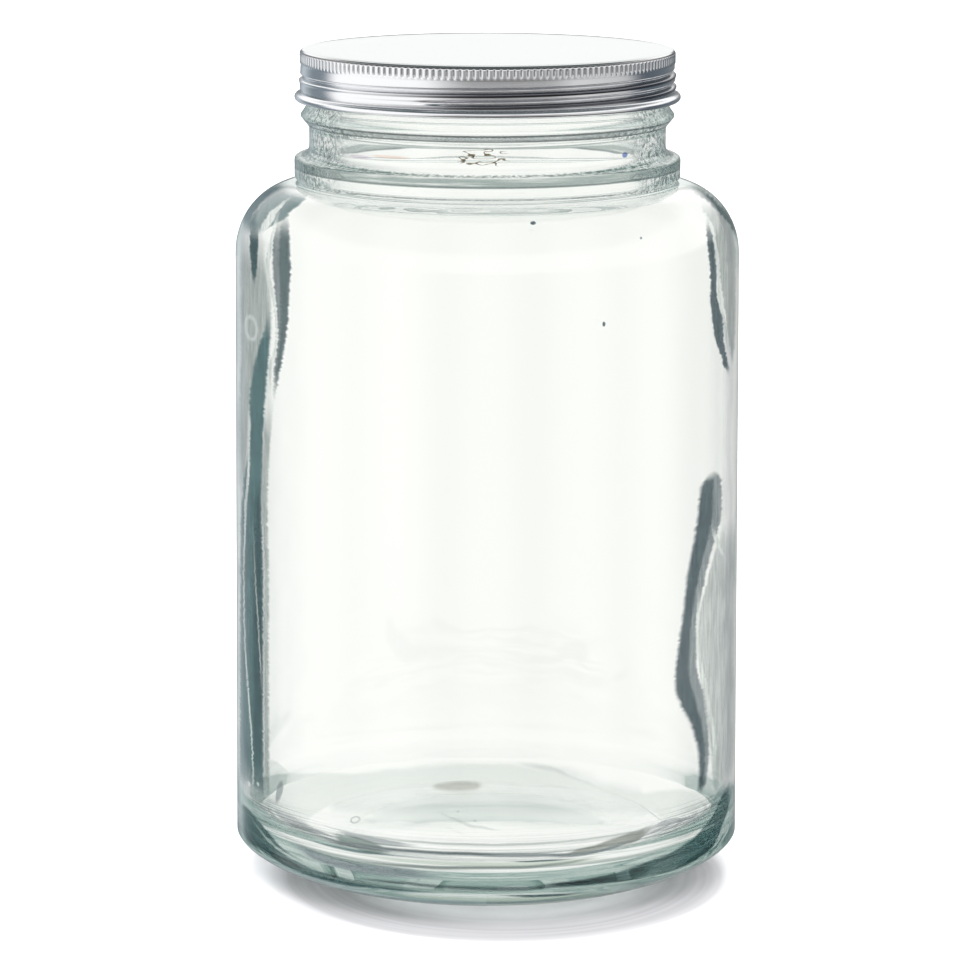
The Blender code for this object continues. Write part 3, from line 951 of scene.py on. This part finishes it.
def lid_rings(sizes):
    """Rings of the plain lid, from the top's middle out, down and back up inside."""
    top_z = LID_HIGH.z
    under_z = top_z - sizes.wall
    inner = sizes.radius - sizes.wall
    top = Outline([(0, top_z)])
    top.line((sizes.radius - LID_CORNER, top_z), 12)
    top.curve((sizes.radius, top_z - LID_CORNER), 6)
    grip = Outline([(FLUTE_R, FLUTE_HIGH_Z)])
    grip.line((FLUTE_R, FLUTE_LOW_Z), 6)
    wall = Outline([(sizes.radius, FLUTE_LOW_Z - FLUTE_RUN_OUT)])
    wall.line((sizes.radius, SKIRT_LOW_Z), 3)
    wall += skirt_points(sizes, 0, 60)[1:]
    for i in range(CURL_STEPS + 1):
        turn = math.radians(60 - 240 * i / CURL_STEPS)
        wall.append((CURL_R + CURL_SECTION * math.cos(turn),
                     CURL_Z + CURL_SECTION * math.sin(turn)))
    wall += reversed(skirt_points(sizes, sizes.wall, 30))
    wall.line((inner, under_z - LID_CORNER), 4)
    wall.curve((inner - LID_CORNER, under_z), 4, upright=True)
    wall.line((0, under_z), 5)
    rings = [(r, z, None, RING_STEPS) for r, z in top[1:]]
    rings += [(r, z, None, sizes.flutes * FLUTE_SIDES) for r, z in grip]
    rings += [(r, z, None, RING_STEPS) for r, z in wall[1:-1]]
    return rings


def thread_offsets(net, z, angle):
    """Height over the rolled thread's middle, and its fade, for two passes of the helix."""
    travel = net.math("WRAP", THREAD_START_ANGLE - angle, FULL_TURN, 0)
    passes = []
    for turn in range(2):
        along = travel + turn * FULL_TURN
        ends = net.smooth(along.math("MINIMUM", THREAD_TRAVEL - along), 0, THREAD_FADE)
        passes.append((z - THREAD_START_Z + along * (PITCH / FULL_TURN), ends))
    return passes


def relief_tree(name):
    """Geometry Nodes tree that rolls the thread and presses the flutes into a turned wall."""
    tree = bpy.data.node_groups.new(name, "GeometryNodeTree")
    kinds = {"Geometry": "Geometry", "Flute depth": "Float", "Groove depth": "Float",
             "Flutes": "Int", "Material": "Material"}
    for label, kind in kinds.items():
        tree.interface.new_socket(label, in_out="INPUT", socket_type="NodeSocket" + kind)
    tree.interface.new_socket("Geometry", in_out="OUTPUT", socket_type="NodeSocketGeometry")
    net = Net(tree)
    given = net.node("NodeGroupInput").siblings()
    x, y, z = net.split(net.node("GeometryNodeInputPosition"))
    radius = net.hypot(x, y)
    angle = net.math("ARCTAN2", y, x)
    # rolled thread: a groove and the bulge under it, on two passes of the helix
    groove = 0
    for offset, ends in thread_offsets(net, z, angle):
        crease = net.hump(offset, GROOVE_HALF_WIDTH) * given["Groove depth"]
        bulge = net.hump(offset + BULGE_DROP, BULGE_HALF_WIDTH) * BULGE
        groove = (crease - bulge) * ends + groove
    # flutes: narrow valleys between rounded crests, only on the grip band
    wave = (angle * given["Flutes"]).math("COSINE") * 0.5 + 0.5
    grip = net.window(z, FLUTE_LOW_Z - 0.1 * MM, FLUTE_LOW_Z + 0.7 * MM,
                      FLUTE_HIGH_Z - 0.5 * MM, FLUTE_HIGH_Z + 0.1 * MM)
    outer = net.smooth(radius, FLUTE_R - 0.15 * MM, FLUTE_R - 0.05 * MM)
    flute = wave ** 3 * grip * outer * given["Flute depth"]
    inward = (groove + flute) / radius * -1
    moved = net.node("GeometryNodeSetPosition",
                     {"Geometry": given["Geometry"],
                      "Offset": net.point(X=x * inward, Y=y * inward)})
    plain = net.node("GeometryNodeRealizeInstances", {"Geometry": moved})
    done = net.node("GeometryNodeSetMaterial",
                    {"Geometry": plain, "Material": given["Material"]})
    net.node("NodeGroupOutput", {0: done})
    return tree


def bake_nodes(piece, tree, values):
    """Run a tree on a piece and keep the result as its plain mesh."""
    modifier = piece.modifiers.new(tree.name, "NODES")
    modifier.node_group = tree
    names = {item.name: item.identifier for item in tree.interface.items_tree
             if item.in_out == "INPUT"}
    for label, value in values.items():
        modifier[names[label]] = value
    shown = piece.evaluated_get(bpy.context.evaluated_depsgraph_get())
    data = bpy.data.meshes.new_from_object(shown)
    piece.modifiers.clear()
    old, piece.data = piece.data, data
    bpy.data.meshes.remove(old)
    data.name = piece.name


def aluminium_material(finishes):
    """Satin rolled aluminium with fine lines round the lid, and painted shade in the rim crease,
    the flute valleys and the thread grooves.
    """
    material, net = new_material("satin_aluminium")
    place = net.node("ShaderNodeTexCoord", output=3)
    x, y, z = net.split(place)
    radius = net.hypot(x, y)
    angle = net.math("ARCTAN2", y, x)
    lines = net.noise(net.point(X=radius * 9000, Y=angle * 3, Z=z * 9000), 1, 3)
    clouds = net.noise(place, 30, 4)
    colour = net.mix(clouds, opaque(finishes.aluminium, 0.95), opaque(finishes.aluminium))
    # painted shade in the crease under the top's edge
    crease = net.hump(z - RIM_CREASE_Z, 0.45 * MM) * net.smooth(radius, 55.6 * MM, 56.1 * MM)
    colour = net.mix(crease * 0.95, colour, CREASE_SHADE_TONE)
    # painted shade in the flute valleys
    wave = (angle * LID_FLUTES).math("COSINE") * 0.5 + 0.5
    grip = net.window(z, FLUTE_LOW_Z, FLUTE_LOW_Z + 0.5 * MM, FLUTE_HIGH_Z - 0.3 * MM,
                      FLUTE_HIGH_Z)
    colour = net.mix(wave ** 2 * grip * 0.6, colour, FLUTE_SHADE_TONE)
    # painted shade and reflection in the thread grooves, stronger towards the right side
    shaded_side = net.smooth(x, -45 * MM, 5 * MM)
    for offset, _ in thread_offsets(net, z, angle):
        below = net.window(offset, -1.95 * MM, -1.7 * MM, -0.8 * MM, -0.55 * MM)
        shade = (below + net.hump(offset - 0.45 * MM, 0.35 * MM)).math("MINIMUM", 1)
        colour = net.mix(shade * shaded_side * 0.95, colour, GROOVE_SHADE_TONE)
    # the flat top is brushed finer than the rolled wall
    on_top = net.smooth(z, LID_HIGH.z - 0.4 * MM, LID_HIGH.z - 0.05 * MM)
    colour = net.mix(on_top * (0.7 + clouds * 0.3), colour, LID_TOP_TONE)
    rough = (0.12 + lines * 0.06 + clouds * 0.04) * (1 - on_top * 0.5)
    normal = net.bump(0.12, 0.0002, lines * (1 - on_top * 0.9))
    shader = net.node("ShaderNodeBsdfPrincipled",
                      {"Base Color": colour, "Metallic": 1, "Roughness": rough,
                       "Normal": normal})
    net.node("ShaderNodeOutputMaterial", {"Surface": shader})
    return material


class STORAGEJAR_OT_lid(bpy.types.Operator):
    """Press and roll the aluminium lid"""

    bl_idname = "storage_jar.lid"
    bl_label = "Aluminium lid"

    def execute(self, context):
        sizes = context.scene.storage_jar_lid
        lid = turned("aluminium_lid", lid_rings(sizes), LID_HIGH.z, LID_HIGH.z - sizes.wall)
        bake_nodes(lid, relief_tree("lid_relief"), {
            "Flute depth": sizes.flute_depth,
            "Groove depth": sizes.groove_depth,
            "Flutes": sizes.flutes,
            "Material": aluminium_material(context.scene.storage_jar_finishes),
        })
        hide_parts("lid")
        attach(lid, BODY)
        return {"FINISHED"}


# ---- studio

CAMERA_DISTANCE = 1.377
CAMERA_HEIGHT = 0.3775
AIM = Vector((0.52 * MM, 0.0, 116.5 * MM))
ROLL = math.radians(0.12)
LENS = 168.36
BOUNCES = 14
FLOOR_HALF = 6.0
SHADE_PLACE = (5.0 * MM, -20.0 * MM)
SHADE_RADII = (70.0 * MM, 77.0 * MM)
SHADE_TONE = (0.12, 0.11, 0.13, 1.0)
LEFT_CARD = (0.50, 0.55, 0.54, 1.0)
RIGHT_CARD = (0.98, 0.98, 0.94, 1.0)
OVERHEAD = (0.12, 0.15, 0.16, 1.0)
LOW_BOARD = (1.04, 1.06, 1.05, 1.0)
# Boxes that the glass and metal mirror, by their share of a turn from straight behind
HORIZON_BOXES = [
    (0.00, grey(0.22)), (0.03, (0.24, 0.28, 0.31, 1.0)), (0.07, (0.60, 0.66, 0.71, 1.0)),
    (0.12, (0.22, 0.27, 0.30, 1.0)), (0.17, (0.22, 0.26, 0.30, 1.0)), (0.205, grey(1.2)),
    (0.39, grey(1.15)), (0.46, grey(0.40)), (0.53, grey(0.36)), (0.61, grey(0.42)),
    (0.65, grey(0.75)), (0.76, grey(0.62)), (0.80, (0.08, 0.10, 0.13, 1.0)),
    (0.90, (0.15, 0.18, 0.20, 1.0)), (1.00, grey(0.30))]
LOW_BOXES = [
    (0.00, (0.18, 0.22, 0.27, 1.0)), (0.16, (0.22, 0.26, 0.30, 1.0)), (0.20, grey(0.80)),
    (0.32, grey(0.75)), (0.42, grey(0.10)), (0.70, grey(0.07)), (0.80, grey(0.05)),
    (1.00, (0.12, 0.14, 0.17, 1.0))]


def studio_world(finishes):
    """White room whose light comes from a backdrop and soft boxes."""
    world = bpy.data.worlds.new("studio")
    world.use_nodes = True
    world.node_tree.nodes.clear()
    net = Net(world.node_tree)
    x, y, z = net.split(net.node("ShaderNodeTexCoord", output=0))
    back = net.math("ARCTAN2", x, y) * DEGREES
    front = net.math("ARCTAN2", x, y * -1) * DEGREES
    rise = z.math("ARCSINE") * DEGREES
    # seen through the glass: a white backdrop with soft grey cards at every eighth of a turn
    card = net.smooth(net.math("PINGPONG", back, 22.5), 3, 22.5)
    level = net.window(rise, -50, -22, 0, 20)
    near = net.smooth(back.math("ABSOLUTE"), 18, 26)
    cards = net.mix(near, net.mix(net.smooth(back, -4, 4), LEFT_CARD, RIGHT_CARD), grey(0.74))
    backdrop = (finishes.backdrop, finishes.backdrop, finishes.backdrop * 0.97, 1.0)
    through = net.mix(card * level, backdrop, cards)
    # mirrored: boxes round the horizon, white above them, dark overhead and below
    share = front / 360 + 0.5
    ring = net.node("ShaderNodeValToRGB", {"Fac": share}, {"stops": HORIZON_BOXES})
    under = net.node("ShaderNodeValToRGB", {"Fac": share}, {"stops": LOW_BOXES})
    low = net.mix(net.smooth(rise, -38, -20), under, ring)
    behind = net.smooth(front.math("ABSOLUTE"), 120, 160)
    high = net.mix(net.smooth(rise + behind * 6, 30, 44), grey(1.2), OVERHEAD)
    # one low white board straight behind, which the lid's flat top mirrors
    board = net.window(rise, 1, 3, 8, 10)
    board = board * net.smooth(front.math("ABSOLUTE"), 172, 176)
    mirrored = net.mix(net.smooth(rise, 8, 13), low, high)
    mirrored = net.mix(board, mirrored, LOW_BOARD)
    scattered = net.math("GREATER_THAN", net.ray("Diffuse Depth"), 0.5)
    colour = net.mix(net.ray("Is Glossy Ray"), grey(1.16), mirrored)
    colour = net.mix(net.ray("Is Transmission Ray"), colour, through)
    colour = net.mix(scattered, colour, grey(finishes.soft_light))
    light = net.node("ShaderNodeBackground", {"Color": colour, "Strength": 1})
    net.node("ShaderNodeOutputWorld", {"Surface": light})
    bpy.context.scene.world = world


def floor_material(finishes):
    """Smooth white table with a soft gloss."""
    material, net = new_material("white_table")
    place = net.node("ShaderNodeTexCoord", output=3)
    clouds = net.noise(place, 40, 3)
    colour = net.mix(clouds, opaque(finishes.floor, 0.995), opaque(finishes.floor))
    # soft shade under the jar's front, with faint rings
    x, y, _ = net.split(place)
    aside = (x - SHADE_PLACE[0]) / SHADE_RADII[0]
    ahead = (y - SHADE_PLACE[1]) / SHADE_RADII[1]
    reach = net.hypot(aside, ahead)
    ring = net.noise(net.point(X=reach * 28, Y=aside * 0.6), 1, 2)
    shade = net.window(reach, 0.56, 0.76, 0.90, 1.06)
    colour = net.mix(shade * (0.42 + ring * 0.30), colour, SHADE_TONE)
    shader = net.node("ShaderNodeBsdfPrincipled",
                      {"Base Color": colour, "Roughness": 0.22 + clouds * 0.04,
                       "Specular IOR Level": 0.12})
    net.node("ShaderNodeOutputMaterial", {"Surface": shader})
    return material


class STORAGEJAR_OT_stage(bpy.types.Operator):
    """Set up the table, the light and the camera"""

    bl_idname = "storage_jar.stage"
    bl_label = "Studio"

    def execute(self, context):
        finishes = context.scene.storage_jar_finishes
        data = bpy.data.meshes.new("table")
        corners = [(x * FLOOR_HALF, y * FLOOR_HALF, 0)
                   for x, y in ((-1, -1), (1, -1), (1, 1), (-1, 1))]
        data.from_pydata(corners, [], [(0, 1, 2, 3)])
        table = bpy.data.objects.new("table", data)
        context.scene.collection.objects.link(table)
        data.materials.append(floor_material(finishes))
        table.visible_transmission = False
        table.visible_glossy = False
        studio_world(finishes)
        context.scene.view_settings.view_transform = "Standard"
        context.scene.cycles.glossy_bounces = BOUNCES
        context.scene.cycles.max_bounces = BOUNCES
        lens = bpy.data.cameras.new("camera")
        lens.lens = LENS
        camera = bpy.data.objects.new("camera", lens)
        context.scene.collection.objects.link(camera)
        eye = Vector((0.0, -CAMERA_DISTANCE, CAMERA_HEIGHT))
        aim = (AIM - eye).to_track_quat("-Z", "Y").to_matrix().to_4x4()
        camera.matrix_world = Matrix.Translation(eye) @ aim @ Matrix.Rotation(ROLL, 4, "Z")
        context.scene.camera = camera
        return {"FINISHED"}


# ---- panel and registration

GROUPS = {"storage_jar": JarSizes, "storage_jar_lid": LidSizes,
          "storage_jar_finishes": Finishes}
OPERATORS = (STORAGEJAR_OT_glass, STORAGEJAR_OT_lid, STORAGEJAR_OT_stage)


class STORAGEJAR_PT_panel(bpy.types.Panel):
    """Lists the sizes, the finishes and the steps that build the jar"""

    bl_label = "Storage jar"
    bl_idname = "STORAGEJAR_PT_panel"
    bl_space_type = "VIEW_3D"
    bl_region_type = "UI"
    bl_category = "Storage jar"

    def draw(self, context):
        for group in GROUPS:
            values = getattr(context.scene, group)
            for name in values.__annotations__:
                self.layout.prop(values, name)
        for operator in OPERATORS:
            self.layout.operator(operator.bl_idname)


CLASSES = (*GROUPS.values(), *OPERATORS, STORAGEJAR_PT_panel)


def register():
    """Register the classes and hang the sizes on the scene."""
    for kind in CLASSES:
        bpy.utils.register_class(kind)
    for group, kind in GROUPS.items():
        setattr(bpy.types.Scene, group, bpy.props.PointerProperty(type=kind))


def unregister():
    """Take the sizes and the classes away again."""
    for group in GROUPS:
        delattr(bpy.types.Scene, group)
    for kind in reversed(CLASSES):
        bpy.utils.unregister_class(kind)


def main():
    """Build everything."""
    register()
    bpy.ops.storage_jar.glass()
    bpy.ops.storage_jar.lid()
    bpy.ops.storage_jar.stage()


if __name__ == "__main__":
    main()
